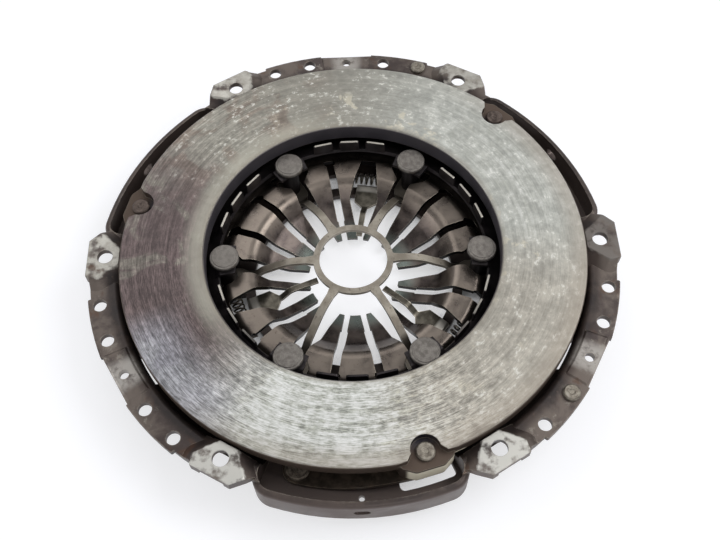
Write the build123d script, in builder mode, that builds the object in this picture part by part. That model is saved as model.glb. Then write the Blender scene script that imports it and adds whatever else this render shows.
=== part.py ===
from build123d import *
import os
from math import atan, cos, degrees, hypot, radians, sin, sqrt, tan

# Self-adjusting diaphragm-spring clutch cover. Millimetres and degrees.
# Frame: Z = 0 is the plane of the six bolting pads, +Z points to the flywheel,
# the Z axis is the clutch axis and +X runs through a bolt hole.

# ---- Driving dimensions: mounting ------------------------------------------
bolt_circle_d = 262.0
bolt_count = 6
bolt_hole_d = 8.2
bolt_head_room_r = 6.8
sheet = 3.2  # thickness of the pressed cover
pad_edge = 140.3  # flat outer edge of a pad, from the axis
pad_low_edge_w = 10.0  # half of that edge, on the side of the trough
pad_high_edge_w = 11.4  # the same on the side of the balance holes
pad_low_w = 15.2  # widest corners on the two sides
pad_high_w = 12.8
pad_corner_r = 134.4
pad_root_half_w = 4.5  # where the pad runs out at the wall
pad_cut_half_w = 23.5  # sheet kept beside a pad, from its middle line
edge_round = 0.7
pad_slope = 52.0  # lean of the pressed pad flanks
pad_rise = 4.5  # pads stand this far above the flange
flange_r = 133.0
neck_r = 139.0  # flange between a pad and the wider part with the balance holes
ear_flange_r = 140.6
ear_flat_r = 139.0  # straight edge across the middle of each such sector
ear_flat_half_angle = 6.2
ear_half_angle = 20.4
neck_half_angle = 27.0
balance_hole_edge = 4.3  # middle of a balance hole to the straight edge
balance_hole_d = 7.0
balance_hole_angles = (-18.5, -9.45, 9.45, 18.5)
gauge_hole_edge = 5.3
gauge_hole_d = 5.0
gauge_step = 0.6  # middle of the sector, embossed this much

# ---- Driving dimensions: pressure plate ------------------------------------
friction_outer_r = 122.4
friction_inner_r = 78.3
friction_height = 4.2  # friction face above the pads, cover not bolted down
plate_t = 15.9
plate_rim_t = 10.2  # thickness left at the bore by the back chamfer
plate_chamfer_r = 88.5
plate_side_h = 7.2
plate_back_r = 116.5
plate_travel = 6.0  # clamping and release stroke towards the gearbox
ridge_r = 105.0
ridge_w = 4.0
ridge_h = 4.3
lug_r = 118.2
lug_outer_r = 126.5
lug_half_w = 15.0  # at its root
lug_end_half_w = 7.0
lug_drop = 4.5  # lug top below the friction face
lug_notch_r = 7.4

# ---- Driving dimensions: springs -------------------------------------------
diaphragm_t = 2.5
diaphragm_cone = 8.5  # slope of the outer disc
diaphragm_lip = 4.0  # disc beyond the ridge
finger_tip_r = 24.8
finger_tip_z = -30.0
finger_flat_r = 35.5
finger_flat_z = -27.2
finger_rise_r = 46.0  # from here the finger climbs steeply
finger_rise_z = -22.8
finger_crest_r = 55.0
finger_crest_z = -14.5
finger_arch_r = 68.5  # far end of the arch over the coil springs
finger_arch_z = -15.2
finger_root_r = 73.5
finger_pitch = 20.0
finger_slot_w = 4.2
finger_tip_slot_w = 3.1
root_window_r = 70.0
root_window_w = 7.0
root_window_h = 6.4
stud_slot_tip_half_w = 4.5
stud_slot_mid_half_w = 4.9
stud_slot_neck_half_w = 4.2
stud_slot_neck_r = 60.3
stud_slot_half_w = 10.4  # round the stud
stud_slot_wide_r = 66.0
stud_slot_end_r = 75.5
sensor_t = 1.8
sensor_inner_r = 72.7
sensor_inner_z = -9.2
sensor_outer_r = 86.5
tab_w = 11.2
tab_t = 1.1
tab_top_z = -2.6
tab_corner_r = 1.3
tab_pitch = 11.8
stop_ear_half_angle = 7.7
stop_ear_inner_r = 63.5
spring_window_back = 11.0  # degrees of window before and behind a coil spring
spring_window_ahead = 31.0
coil_wire_d = 1.1
coil_outer_d = 7.0
coil_r = 65.5
coil_half_length = 12.6
coil_turns = 8
coil_from_sector = -10.0  # coil position seen from its sector centre
coil_gap_back_w = 7.0  # widest part of the gap between the fingers, from its middle line
coil_gap_ahead_w = 9.0  # the same on the side of the middle finger
coil_gap_wide_r = 46.2
coil_gap_root_back_w = 3.0
coil_gap_root_ahead_w = 5.0
coil_window_inner_r = 60.5
coil_window_outer_r = 70.5
leaf_t = 0.85
leaf_step = 0.9
leaf_count = 3
leaf_half_w = 7.2
leaf_span = 30.0

# ---- Driving dimensions: cover bowl ----------------------------------------
cover_bore_r = 55.0
floor_z = -30.0
shelf_z = -26.5
wall_foot_r = 110.0
wall_knee_z = -10.0
wall_bend_r = 5.0
flange_bend_r = 3.4
plate_gap = 1.2  # plate rim to cover wall
trough_half_angle = 22.3
trough_floor_z = -20.0
trough_wall_r = 137.7
trough_lip_z = -6.5
trough_corner_r = 11.0
lip_radius = 2.4
wall_window_half_angle = 4.5
wall_window_top_z = -11.0
wall_window_low_z = -20.0
drain_w = 8.0
drain_h = 5.0
drain_z = -14.5
weep_hole_r = 129.0
weep_hole_d = 3.0
lug_window_inner_r = 111.5
lug_window_outer_r = 127.8
lug_window_half_angle = 6.5

# ---- Driving dimensions: wear adjuster -------------------------------------
adjuster_inner_r = 78.0
adjuster_outer_r = 88.0
adjuster_top_z = -24.0
pivot_r = 83.0
bead_w = 5.0
ramp_count = 12
ramp_lead = 0.125  # rise in mm for each degree of turn
ramp_gap = 0.1
ramp_end_gap = 0.4  # degrees between the steep faces
ramp_start = 3.0  # degrees of flat floor before each cover ramp
ramp_inset = 3.2  # ramps stay clear of the ring's bore and rim by this much
ring_fit = 0.1
stop_arm_w = 2.5
stop_arm_inner_r = 61.5
stop_arm_drop = 0.9  # top of the arms below the top of the ring

# ---- Driving dimensions: studs, stop ring, tongues, rivets -----------------
stud_r = 68.8
stud_head_r = 7.85
stud_head_t = 3.0
stud_top_z = -4.4
stud_shank_r = 4.8
stud_tenon_r = 3.5
rivet_head_t = 2.2
rivet_shank_r = 3.5
lug_rivet_head_r = 4.7
cover_rivet_head_r = 6.2
closing_head_r = 5.5
cover_closing_head_r = 4.7
balance_head_r = 4.3
hole_fit = 0.05
stop_ring_inner_r = 18.3
stop_ring_outer_r = 21.6
stop_ring_z = -11.0
stop_ring_t = 2.0
stop_arm_width = 4.0
stop_foot_w = 13.0
stop_arm_flat_r = 35.0  # the arm leaves the ring's plane here
stop_arm_knee_r = 50.5
stop_arm_knee_z = -19.6
stop_arm_flare = 3.0  # widening where an arm meets the ring
stop_foot_r = 58.0
stop_foot_end_r = 75.5
tongue_t = 1.3
tongue_w = 3.2
tongue_root_w = 13.0
tongue_tip_r = 21.0
tongue_tip_z = -20.3
tongue_root_z = -26.4
tongue_neck_r = 43.0
tongue_clip_gap = 0.4  # each side of the cover's rim
seat_gap = 0.3  # between curved faces that only lean on each other

# ---- Sizes that follow -----------------------------------------------------
balance_hole_r = ear_flat_r - balance_hole_edge
gauge_hole_r = ear_flat_r - gauge_hole_edge
bolt_r = bolt_circle_d / 2
pad_pitch = 360 / bolt_count
sector_angles = [pad_pitch * (k + 0.5) for k in range(0, bolt_count, 2)]  # troughs for the leaf springs
ear_angles = [angle + pad_pitch for angle in sector_angles]  # flange sectors with the balance holes
lug_angles = [angle + leaf_span / 2 for angle in sector_angles]
cover_rivet_angles = [angle - leaf_span / 2 for angle in sector_angles]
plate_back_z = friction_height - plate_t
lug_top_z = friction_height - lug_drop
wall_r = friction_outer_r + plate_gap
cone_rise = tan(radians(diaphragm_cone))
ridge_tip_z = plate_back_z - ridge_h
disc_outer_r = ridge_r + diaphragm_lip
leaf_stack = leaf_step * leaf_count
leaf_cover_z = trough_floor_z + leaf_stack
rivet_room = leaf_cover_z + rivet_head_t + plate_travel + plate_gap / 2 - plate_back_z
stud_head_z = stud_top_z - stud_head_t
channel_r = adjuster_outer_r + ring_fit
ramp_angle = 360 / ramp_count
stop_arm_top_z = adjuster_top_z - stop_arm_drop
coil_z = stop_arm_top_z - coil_outer_d / 2
foot_top_z = floor_z + stop_ring_t
coil_angles = [angle + coil_from_sector for angle in ear_angles]


def disc_top(r):
    """Height of the diaphragm's upper face on its outer disc."""
    return ridge_tip_z - seat_gap - (ridge_r - r) * cone_rise


bead_z = disc_top(pivot_r) - diaphragm_t / cos(radians(diaphragm_cone)) - seat_gap
arm_length = adjuster_inner_r + ramp_inset / 2 - stop_arm_inner_r


def wall_at(z):
    """Inner radius of the cover's sloping wall at height z."""
    share = (z - shelf_z) / (wall_knee_z - shelf_z)
    return wall_foot_r + share * (wall_r - wall_foot_r)


def radial_plane(angle):
    """Plane through the axis at an angle: local X outwards, local Y up."""
    a = radians(angle)
    return Plane(origin=(0, 0, 0), x_dir=(cos(a), sin(a), 0), z_dir=(sin(a), -cos(a), 0))


def at(r, angle, z=0.0):
    """Point on a circle about the clutch axis."""
    a = radians(angle)
    return (r * cos(a), r * sin(a), z)


def strip(points, radii, thickness, side=Side.RIGHT):
    """Cross-section of bent sheet, drawn from the line of one skin."""
    with BuildSketch() as section:
        with BuildLine():
            skin = FilletPolyline(*points, radius=radii)
            offset(skin, amount=thickness, side=side)
        make_face()
    return section.sketch


def ring_sector(inner, outer, half_angle, corner=0):
    """Flat sector of a ring about local X, with its two outer corners rounded."""
    with BuildSketch() as flat:
        with BuildLine():
            CenterArc((0, 0), outer, -half_angle, 2 * half_angle)
            CenterArc((0, 0), inner, -half_angle, 2 * half_angle)
            for side in (-half_angle, half_angle):
                Line(at(inner, side)[:2], at(outer, side)[:2])
        make_face()
        if corner:
            fillet(flat.vertices().sort_by(lambda v: -hypot(v.X, v.Y))[:2], corner)
    return flat.sketch


def finish(piece, name):
    """Name a finished piece and write its STEP file."""
    piece.part.label = name
    export_step(piece.part, f"parts/{name}.step")


def place(solid, spot, name):
    """Move a finished solid to its place, name it and write its STEP file."""
    placed = solid.moved(spot)
    placed.label = name
    export_step(placed, f"parts/{name}.step")


os.makedirs("parts", exist_ok=True)

# ---- Cover: pieces of the pressing -----------------------------------------
# One bolting pad about local X: a hexagon raised from the flange, higher on the
# balance-hole side (-Y) and running down to the trough on the other (+Y).
with BuildPart() as pad:
    with BuildSketch(Plane.XY):
        with BuildLine():
            FilletPolyline(
                (pad_edge, -pad_high_edge_w), (pad_edge, pad_low_edge_w), (pad_corner_r, pad_low_w),
                (wall_r, pad_root_half_w), (wall_r, -pad_root_half_w), (pad_corner_r, -pad_high_w),
                radius=2 * edge_round, close=True,
            )
        make_face()
    extrude(amount=-(pad_rise + sheet / 2), taper=-pad_slope)
    fillet(pad.faces().sort_by(Axis.Z)[-1].edges(), edge_round)
    # The outer outline is the cut edge of the sheet, so it drops straight.
    notch_w = pad_high_edge_w + sheet / 2
    with BuildSketch():
        with BuildLine():
            Polyline(
                (pad_edge, -pad_high_edge_w), (pad_edge, pad_low_edge_w), (pad_corner_r, pad_low_w + 0.3),
                (wall_r, pad_cut_half_w), (wall_r - sheet, pad_cut_half_w), (wall_r - sheet, -pad_cut_half_w),
                (sqrt(neck_r**2 - pad_cut_half_w**2), -pad_cut_half_w), (sqrt(neck_r**2 - notch_w**2), -notch_w),
                close=True,
            )
        make_face()
    extrude(amount=-3 * pad_rise, mode=Mode.INTERSECT)
    # It ends at the mouth of the bowl.
    with BuildSketch():
        Circle(wall_r)
    extrude(amount=-3 * pad_rise, mode=Mode.SUBTRACT)

# Hollow under a pad, with the bolt head's seat open to the rim.
with BuildPart() as pad_hollow:
    with BuildSketch(Plane.XY.offset(-sheet)):
        with Locations((bolt_r, 0)):
            Circle(bolt_head_room_r)
        with Locations((bolt_r + bolt_head_room_r, 0)):
            Rectangle(2 * bolt_head_room_r, 2 * bolt_head_room_r)
    extrude(amount=-2 * pad_rise)

# Trough that bulges out past the wall to house a leaf spring pack and a lug.
trough_root_r = wall_at(trough_floor_z) + sheet / 4
end_wall_angle = degrees(sheet / flange_r)
with BuildPart() as trough_block:
    with BuildSketch(Plane.XY.offset(trough_floor_z - sheet)):
        add(ring_sector(trough_root_r, trough_wall_r, trough_half_angle + end_wall_angle, trough_corner_r))
    extrude(amount=trough_lip_z - trough_floor_z + sheet)
    rim = trough_block.edges().filter_by(lambda e: hypot(e.center().X, e.center().Y) > flange_r)
    fillet(rim.group_by(Axis.Z)[-1], lip_radius)
    # Only what is outside the bowl's wall stays, with a little left to fuse into it.
    trough_low_z = trough_floor_z - 2 * sheet
    with BuildSketch(Plane.XZ):
        with BuildLine():
            Polyline(
                (disc_outer_r, trough_low_z), (wall_at(trough_low_z) + sheet / 4, trough_low_z),
                (wall_r + sheet / 4, wall_knee_z), (wall_r + sheet / 4, 0), (disc_outer_r, 0), close=True,
            )
        make_face()
    revolve(axis=Axis.Z, mode=Mode.SUBTRACT)

with BuildPart() as trough_hollow:
    with BuildSketch(Plane.XY.offset(trough_floor_z)):
        add(ring_sector(disc_outer_r, trough_wall_r - sheet, trough_half_angle, trough_corner_r - sheet))
    extrude(amount=trough_lip_z - trough_floor_z + 3 * pad_rise)

# Helical cutter: everything above one ramp surface, starting at angle 0.
with BuildPart() as above_ramp:
    with BuildLine():
        Helix(pitch=360 * ramp_lead, height=ramp_lead * ramp_angle, radius=pivot_r, center=(0, 0, floor_z))
    with BuildSketch(Plane.XZ):
        with Locations((pivot_r, floor_z)):
            Rectangle(2 * (adjuster_outer_r - adjuster_inner_r), 9.0, align=(Align.CENTER, Align.MIN))
    sweep(is_frenet=True)

# The same below the surface, one running gap higher, for the ring's teeth.
with BuildPart() as below_ramp:
    with BuildLine():
        Helix(
            pitch=360 * ramp_lead, height=ramp_lead * ramp_angle, radius=pivot_r,
            center=(0, 0, floor_z + ramp_gap),
        )
    with BuildSketch(Plane.XZ):
        with Locations((pivot_r, floor_z + ramp_gap)):
            Rectangle(2 * (adjuster_outer_r - adjuster_inner_r), 9.0, align=(Align.CENTER, Align.MAX))
    sweep(is_frenet=True)

# One ramp embossed in the cover floor.
ramp_half = (ramp_angle - ramp_end_gap - ramp_start) / 2
with BuildPart() as ramp:
    with BuildSketch(Plane.XY.offset(floor_z - sheet / 4).rotated((0, 0, ramp_start + ramp_half))):
        add(ring_sector(adjuster_inner_r + ramp_inset, adjuster_outer_r - ramp_inset, ramp_half))
    extrude(amount=2 * ramp_lead * ramp_angle)
    add(above_ramp.part, mode=Mode.SUBTRACT)

# ---- Cover -----------------------------------------------------------------
with BuildPart() as cover:
    with BuildSketch(Plane.XZ):
        add(strip(
            [
                (cover_bore_r, floor_z), (channel_r, floor_z), (channel_r, shelf_z), (wall_foot_r, shelf_z),
                (wall_r, wall_knee_z), (wall_r, -pad_rise), (flange_r, -pad_rise),
            ],
            [1.4, 1.4, wall_bend_r, wall_bend_r, flange_bend_r], sheet,
        ))
    revolve(axis=Axis.Z)
    for angle in ear_angles:
        with BuildSketch(Plane.XY.offset(-pad_rise).rotated((0, 0, angle))):
            add(ring_sector(bolt_r, neck_r, neck_half_angle))
            add(ring_sector(bolt_r, ear_flange_r, ear_half_angle, 1.0))
            with Locations((ear_flat_r, 0)):
                flat_w = 2 * ear_flange_r * sin(radians(ear_flat_half_angle))
                Rectangle(pad_rise, flat_w, align=(Align.MIN, Align.CENTER), mode=Mode.SUBTRACT)
        extrude(amount=-sheet)
        with BuildSketch(Plane.XY.offset(-pad_rise).rotated((0, 0, angle))):
            add(ring_sector(wall_r + sheet, ear_flat_r, ear_flat_half_angle))
        extrude(amount=gauge_step, taper=60)
    with PolarLocations(0, len(sector_angles), start_angle=sector_angles[0]):
        add(trough_block.part)
    # Pads come in mirrored pairs, so that each turns its low corner to a trough.
    with PolarLocations(0, bolt_count // 2):
        add(pad.part)
    with PolarLocations(0, bolt_count // 2, start_angle=pad_pitch):
        add(pad.part.mirror(Plane.XZ))
    with PolarLocations(0, len(sector_angles), start_angle=sector_angles[0]):
        add(trough_hollow.part, mode=Mode.SUBTRACT)
    with PolarLocations(0, bolt_count):
        add(pad_hollow.part, mode=Mode.SUBTRACT)
    with BuildSketch(Plane.XY.offset(pad_rise)):
        with PolarLocations(bolt_r, bolt_count):
            Circle(bolt_hole_d / 2)
    extrude(amount=-4 * pad_rise, mode=Mode.SUBTRACT)
    for angle in ear_angles:
        with BuildSketch(Plane.XY.offset(pad_rise)):
            for turn in balance_hole_angles:
                with Locations(at(balance_hole_r, angle + turn)):
                    Circle(balance_hole_d / 2)
            with Locations(at(gauge_hole_r, angle)):
                Circle(gauge_hole_d / 2)
        extrude(amount=-4 * pad_rise, mode=Mode.SUBTRACT)
    # Vents in the sloping wall below the balance holes.
    for angle in ear_angles:
        with BuildSketch(Plane.XY.offset(wall_window_top_z).rotated((0, 0, angle))):
            add(ring_sector(plate_back_r - sheet, bolt_r, wall_window_half_angle, 2.0))
        extrude(amount=wall_window_low_z - wall_window_top_z, mode=Mode.SUBTRACT)
    # Windows under the lugs let rivet heads and leaf ends move with the plate.
    for angle in lug_angles:
        with BuildSketch(Plane.XY.offset(trough_floor_z + sheet).rotated((0, 0, angle))):
            add(ring_sector(lug_window_inner_r, lug_window_outer_r, lug_window_half_angle, 2.5))
        extrude(amount=shelf_z - trough_floor_z - sheet / 2, mode=Mode.SUBTRACT)
    for angle in sector_angles:
        with BuildSketch(radial_plane(angle + 90).offset(trough_wall_r + sheet)):
            with Locations((0, drain_z)):
                SlotOverall(drain_w, drain_h)
        extrude(amount=-3 * sheet, mode=Mode.SUBTRACT)
        with BuildSketch(Plane.XY.offset(trough_floor_z + sheet)):
            with Locations(at(lug_r, angle - leaf_span / 2)):
                Circle(rivet_shank_r + hole_fit)
            with Locations(at(weep_hole_r, angle)):
                Circle(weep_hole_d / 2)
        extrude(amount=-3 * sheet, mode=Mode.SUBTRACT)
        with BuildSketch(Plane.XY.offset(trough_floor_z - sheet)):
            with Locations(at(lug_r, angle - leaf_span / 2)):
                Circle(cover_closing_head_r + seat_gap)
        extrude(amount=-2 * rivet_head_t, mode=Mode.SUBTRACT)
    # Floor: stud holes, spring windows with their lanced stops, and the ramps.
    with BuildSketch(Plane.XY.offset(floor_z + sheet)):
        with PolarLocations(stud_r, bolt_count):
            Circle(stud_tenon_r + hole_fit)
    extrude(amount=-3 * sheet, mode=Mode.SUBTRACT)
    for angle in coil_angles:
        window_turn = (spring_window_ahead + spring_window_back) / 2
        middle = angle + window_turn - spring_window_back
        with BuildSketch(Plane.XY.offset(floor_z + sheet).rotated((0, 0, middle))):
            add(ring_sector(coil_window_inner_r, coil_window_outer_r, window_turn, 1.5))
        extrude(amount=-3 * sheet, mode=Mode.SUBTRACT)
        with BuildSketch(Plane.XY.offset(floor_z - sheet / 2).rotated((0, 0, angle))):
            with Locations((coil_r, -coil_half_length - seat_gap)):
                Rectangle(coil_outer_d + 1, stop_arm_w, align=(Align.CENTER, Align.MAX))
        extrude(amount=stop_arm_top_z - floor_z + sheet / 2)
    with PolarLocations(0, ramp_count):
        add(ramp.part)
    with Locations((0, 0, -sheet)):
        with PolarLocations(0, ramp_count):
            add(ramp.part, mode=Mode.SUBTRACT)
finish(cover, "cover")

# ---- Pressure plate: cast iron ring with three lugs ------------------------
with BuildPart() as plate:
    with BuildSketch(Plane.XZ):
        with BuildLine():
            Polyline(
                (friction_inner_r, friction_height), (friction_outer_r, friction_height),
                (friction_outer_r, friction_height - plate_side_h), (plate_back_r, plate_back_z),
                (ridge_r + ridge_w, plate_back_z), (ridge_r + ridge_w / 2, ridge_tip_z + ridge_w / 4),
                (ridge_r, ridge_tip_z), (ridge_r - ridge_w / 2, ridge_tip_z + ridge_w / 4),
                (ridge_r - ridge_w, plate_back_z), (plate_chamfer_r, plate_back_z),
                (friction_inner_r, friction_height - plate_rim_t), close=True,
            )
        make_face()
        face_corners = vertices().group_by(Axis.Y)[-1]
        chamfer(face_corners, 0.8)
    revolve(axis=Axis.Z)
    for angle in lug_angles:
        with BuildSketch(Plane.XY.offset(lug_top_z).rotated((0, 0, angle))):
            with BuildLine():
                FilletPolyline(
                    (plate_back_r - 2, -lug_half_w), (friction_outer_r, -0.9 * lug_half_w),
                    (lug_outer_r, -lug_end_half_w), (lug_outer_r, lug_end_half_w),
                    (friction_outer_r, 0.9 * lug_half_w), (plate_back_r - 2, lug_half_w),
                    radius=lug_end_half_w / 2, close=True,
                )
            make_face()
        extrude(amount=plate_back_z - lug_top_z)
        # The face steps back round each rivet in a notch with flared shoulders.
        with BuildSketch(Plane.XY.offset(friction_height + 1).rotated((0, 0, angle))):
            with Locations((lug_r, 0)):
                Circle(lug_notch_r)
            with BuildLine():
                Polyline(
                    (lug_r, -lug_notch_r), (lug_r + 3, -lug_notch_r - 2.6), (lug_outer_r - 5, -2.3 * lug_notch_r),
                    (lug_outer_r + 2, -2.3 * lug_notch_r), (lug_outer_r + 2, 2.3 * lug_notch_r),
                    (lug_outer_r - 5, 2.3 * lug_notch_r), (lug_r + 3, lug_notch_r + 2.6), (lug_r, lug_notch_r),
                    close=True,
                )
            make_face()
        extrude(amount=lug_top_z - friction_height - 1, mode=Mode.SUBTRACT)
        with BuildSketch(Plane.XY.offset(friction_height)):
            with Locations(at(lug_r, angle)):
                Circle(rivet_shank_r + hole_fit)
        extrude(amount=-plate_t - 1, mode=Mode.SUBTRACT)
        # Room above the head of the rivet that holds the leaf pack to the cover.
        with BuildSketch(Plane.XY.offset(plate_back_z)):
            with Locations(at(lug_r, angle - leaf_span)):
                Circle(cover_rivet_head_r + plate_gap)
        extrude(amount=rivet_room, mode=Mode.SUBTRACT)
finish(plate, "pressure_plate")

# ---- Diaphragm spring: one pressed disc, slit into fingers -----------------
tip_cut_r = finger_tip_r - 3
with BuildPart() as diaphragm:
    with BuildSketch(Plane.XZ):
        add(strip(
            [
                (finger_tip_r, finger_tip_z), (finger_flat_r, finger_flat_z), (finger_rise_r, finger_rise_z),
                (finger_crest_r, finger_crest_z), (finger_arch_r, finger_arch_z),
                (finger_root_r, disc_top(finger_root_r)), (disc_outer_r, disc_top(disc_outer_r)),
            ],
            [20.0, 10.0, 7.0, 4.5, 4.5], diaphragm_t,
        ))
    revolve(axis=Axis.Z)
    for sector in (*sector_angles, *ear_angles):
        for turn in (-finger_pitch / 2, finger_pitch / 2):
            with_coil = sector in ear_angles and turn == coil_from_sector
            with BuildSketch(Plane.XY.rotated((0, 0, sector + turn))):
                with Locations((tip_cut_r, 0)):
                    Rectangle(root_window_r - tip_cut_r, finger_tip_slot_w, align=(Align.MIN, Align.CENTER))
                if with_coil:
                    # The neighbours draw back round the tongue and the coil spring.
                    with BuildLine():
                        FilletPolyline(
                            (tip_cut_r, -finger_tip_slot_w / 2), (finger_tip_r + 1, -finger_tip_slot_w / 2),
                            (coil_gap_wide_r, -coil_gap_back_w), (root_window_r, -coil_gap_root_back_w),
                            (root_window_r, coil_gap_root_ahead_w), (coil_gap_wide_r, coil_gap_ahead_w),
                            (finger_tip_r + 1, finger_tip_slot_w / 2), (tip_cut_r, finger_tip_slot_w / 2),
                            radius=1.0, close=True,
                        )
                    make_face()
                else:
                    with Locations((finger_flat_r, 0)):
                        Rectangle(root_window_r - finger_flat_r, finger_slot_w, align=(Align.MIN, Align.CENTER))
                    with Locations((root_window_r, 0)):
                        RectangleRounded(root_window_w, root_window_h, 1.4)
            extrude(amount=2 * finger_tip_z, mode=Mode.SUBTRACT)
    for k in range(bolt_count):
        with BuildSketch(Plane.XY.rotated((0, 0, k * pad_pitch))):
            with BuildLine():
                slot_edge = FilletPolyline(
                    (tip_cut_r, stud_slot_tip_half_w), (finger_flat_r, stud_slot_tip_half_w - 0.5),
                    (finger_rise_r, stud_slot_mid_half_w), (finger_crest_r, stud_slot_neck_half_w),
                    (stud_slot_neck_r, stud_slot_neck_half_w), (stud_slot_wide_r, stud_slot_half_w),
                    (stud_slot_end_r, stud_slot_half_w), (stud_slot_end_r, 0), radius=2.0,
                )
                mirror(slot_edge, about=Plane.XZ)
                Line((tip_cut_r, stud_slot_tip_half_w), (tip_cut_r, -stud_slot_tip_half_w))
            make_face()
        extrude(amount=2 * finger_tip_z, mode=Mode.SUBTRACT)
finish(diaphragm, "diaphragm_spring")

# ---- Sensor spring: cone with upright tabs and ears under the stud heads ---
sensor_run = sensor_outer_r - sensor_inner_r
sensor_lean = atan((sensor_inner_z - sensor_t - disc_top(sensor_outer_r)) / sensor_run)
sensor_edge_z = disc_top(sensor_outer_r) + seat_gap + sensor_t * cos(sensor_lean)
sensor_slope = (sensor_edge_z - sensor_inner_z) / sensor_run
with BuildPart() as sensor:
    with BuildSketch(Plane.XZ):
        with BuildLine():
            skin = Line((sensor_inner_r, sensor_inner_z), (sensor_outer_r, sensor_edge_z))
            offset(skin, amount=sensor_t, side=Side.RIGHT)
        make_face()
    revolve(axis=Axis.Z)
    for sector in (*sector_angles, *ear_angles):
        for turn in (-tab_pitch, 0, tab_pitch):
            tab_h = tab_top_z - sensor_inner_z + sensor_t
            with BuildSketch(radial_plane(sector + turn + 90).offset(sensor_inner_r - tab_t / 2)) as tab:
                with Locations((0, tab_top_z)):
                    Rectangle(tab_w, tab_h, align=(Align.CENTER, Align.MAX))
                fillet(tab.vertices().group_by(Axis.Z)[-1], tab_corner_r)
            extrude(amount=tab_t)
    for k in range(bolt_count):
        with BuildSketch(radial_plane(k * pad_pitch - stop_ear_half_angle)):
            add(strip(
                [
                    (stop_ear_inner_r, stud_head_z), (sensor_inner_r - 1, stud_head_z),
                    (sensor_inner_r + 2.2, sensor_inner_z + 2.2 * sensor_slope),
                ],
                1.0, sensor_t,
            ))
        revolve(axis=Axis.Z, revolution_arc=2 * stop_ear_half_angle)
    with BuildSketch():
        with PolarLocations(stud_r, bolt_count):
            Circle(stud_shank_r + seat_gap)
    extrude(amount=floor_z, mode=Mode.SUBTRACT)
finish(sensor, "sensor_spring")

# ---- Adjuster ring: ramps below, pivot bead on top, three stop arms --------
ring_bottom_z = floor_z + ramp_gap
with BuildPart() as adjuster:
    with BuildSketch(Plane.XZ):
        with BuildLine():
            Polyline(
                (adjuster_inner_r, ring_bottom_z), (adjuster_outer_r - 2, ring_bottom_z),
                (adjuster_outer_r, ring_bottom_z + 2), (adjuster_outer_r, adjuster_top_z),
                (pivot_r + bead_w / 2, adjuster_top_z), (pivot_r + bead_w / 4, bead_z - 0.3), (pivot_r, bead_z),
                (pivot_r - bead_w / 4, bead_z - 0.3), (pivot_r - bead_w / 2, adjuster_top_z),
                (adjuster_inner_r, adjuster_top_z), close=True,
            )
        make_face()
    revolve(axis=Axis.Z)
    with PolarLocations(0, ramp_count):
        add(below_ramp.part, mode=Mode.SUBTRACT)
    for angle in coil_angles:
        with BuildSketch(Plane.XY.offset(stop_arm_top_z).rotated((0, 0, angle))):
            with Locations((stop_arm_inner_r, coil_half_length + seat_gap)):
                Rectangle(arm_length, stop_arm_w, align=Align.MIN)
        extrude(amount=ring_bottom_z + ramp_gap - stop_arm_top_z)
finish(adjuster, "adjuster_ring")

# ---- Release stop ring: stamped ring with six arms -------------------------
with BuildPart() as stop_arm:
    with BuildSketch(Plane.XZ):
        add(strip(
            [
                (stop_ring_outer_r - 1.5, stop_ring_z), (stop_arm_flat_r, stop_ring_z),
                (stop_arm_knee_r, stop_arm_knee_z), (stop_foot_r, foot_top_z), (stop_foot_end_r, foot_top_z),
            ],
            [22.0, 9.0, 1.6], stop_ring_t,
        ))
    extrude(amount=stop_foot_w / 2, both=True)
    with BuildSketch():
        with BuildLine():
            FilletPolyline(
                (stop_ring_outer_r - 2, -stop_arm_flare), (stop_ring_outer_r + 4, -stop_arm_width / 2),
                (stop_foot_r - 4, -stop_arm_width / 2), (stop_foot_r + 4, -stop_foot_w / 2),
                (stop_foot_end_r, -stop_foot_w / 2), (stop_foot_end_r, stop_foot_w / 2),
                (stop_foot_r + 4, stop_foot_w / 2), (stop_foot_r - 4, stop_arm_width / 2),
                (stop_ring_outer_r + 4, stop_arm_width / 2), (stop_ring_outer_r - 2, stop_arm_flare),
                radius=1.5, close=True,
            )
        make_face()
    extrude(amount=floor_z - 1, mode=Mode.INTERSECT)
with BuildPart() as stop_ring:
    with BuildSketch(Plane.XY.offset(stop_ring_z)):
        Circle(stop_ring_outer_r)
        Circle(stop_ring_inner_r, mode=Mode.SUBTRACT)
    extrude(amount=-stop_ring_t)
    with PolarLocations(0, bolt_count):
        add(stop_arm.part)
    with BuildSketch(Plane.XY.offset(foot_top_z + 1)):
        with PolarLocations(stud_r, bolt_count):
            Circle(stud_tenon_r + hole_fit)
    extrude(amount=-2 * stop_ring_t, mode=Mode.SUBTRACT)
finish(stop_ring, "release_stop_ring")

# ---- Adjuster coil springs: tangential, between cover stop and ring arm ----
for k, angle in enumerate(coil_angles, 1):
    mean_r = (coil_outer_d - coil_wire_d) / 2
    length = 2 * coil_half_length - coil_wire_d
    lead_in = degrees(atan((coil_half_length - coil_wire_d / 2) / coil_r))
    start = Plane(
        origin=at(hypot(coil_r, coil_half_length - coil_wire_d / 2), angle - lead_in, coil_z),
        x_dir=(cos(radians(angle)), sin(radians(angle)), 0),
        z_dir=(-sin(radians(angle)), cos(radians(angle)), 0),
    )
    with BuildPart() as coil:
        with BuildLine():
            turns = Helix(pitch=length / coil_turns, height=length, radius=mean_r)
        with BuildSketch(Plane(origin=turns @ 0, z_dir=turns % 0)):
            Circle(coil_wire_d / 2)
        sweep(is_frenet=True)
    place(coil.part, start.location, f"coil_spring_{k}")

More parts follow.
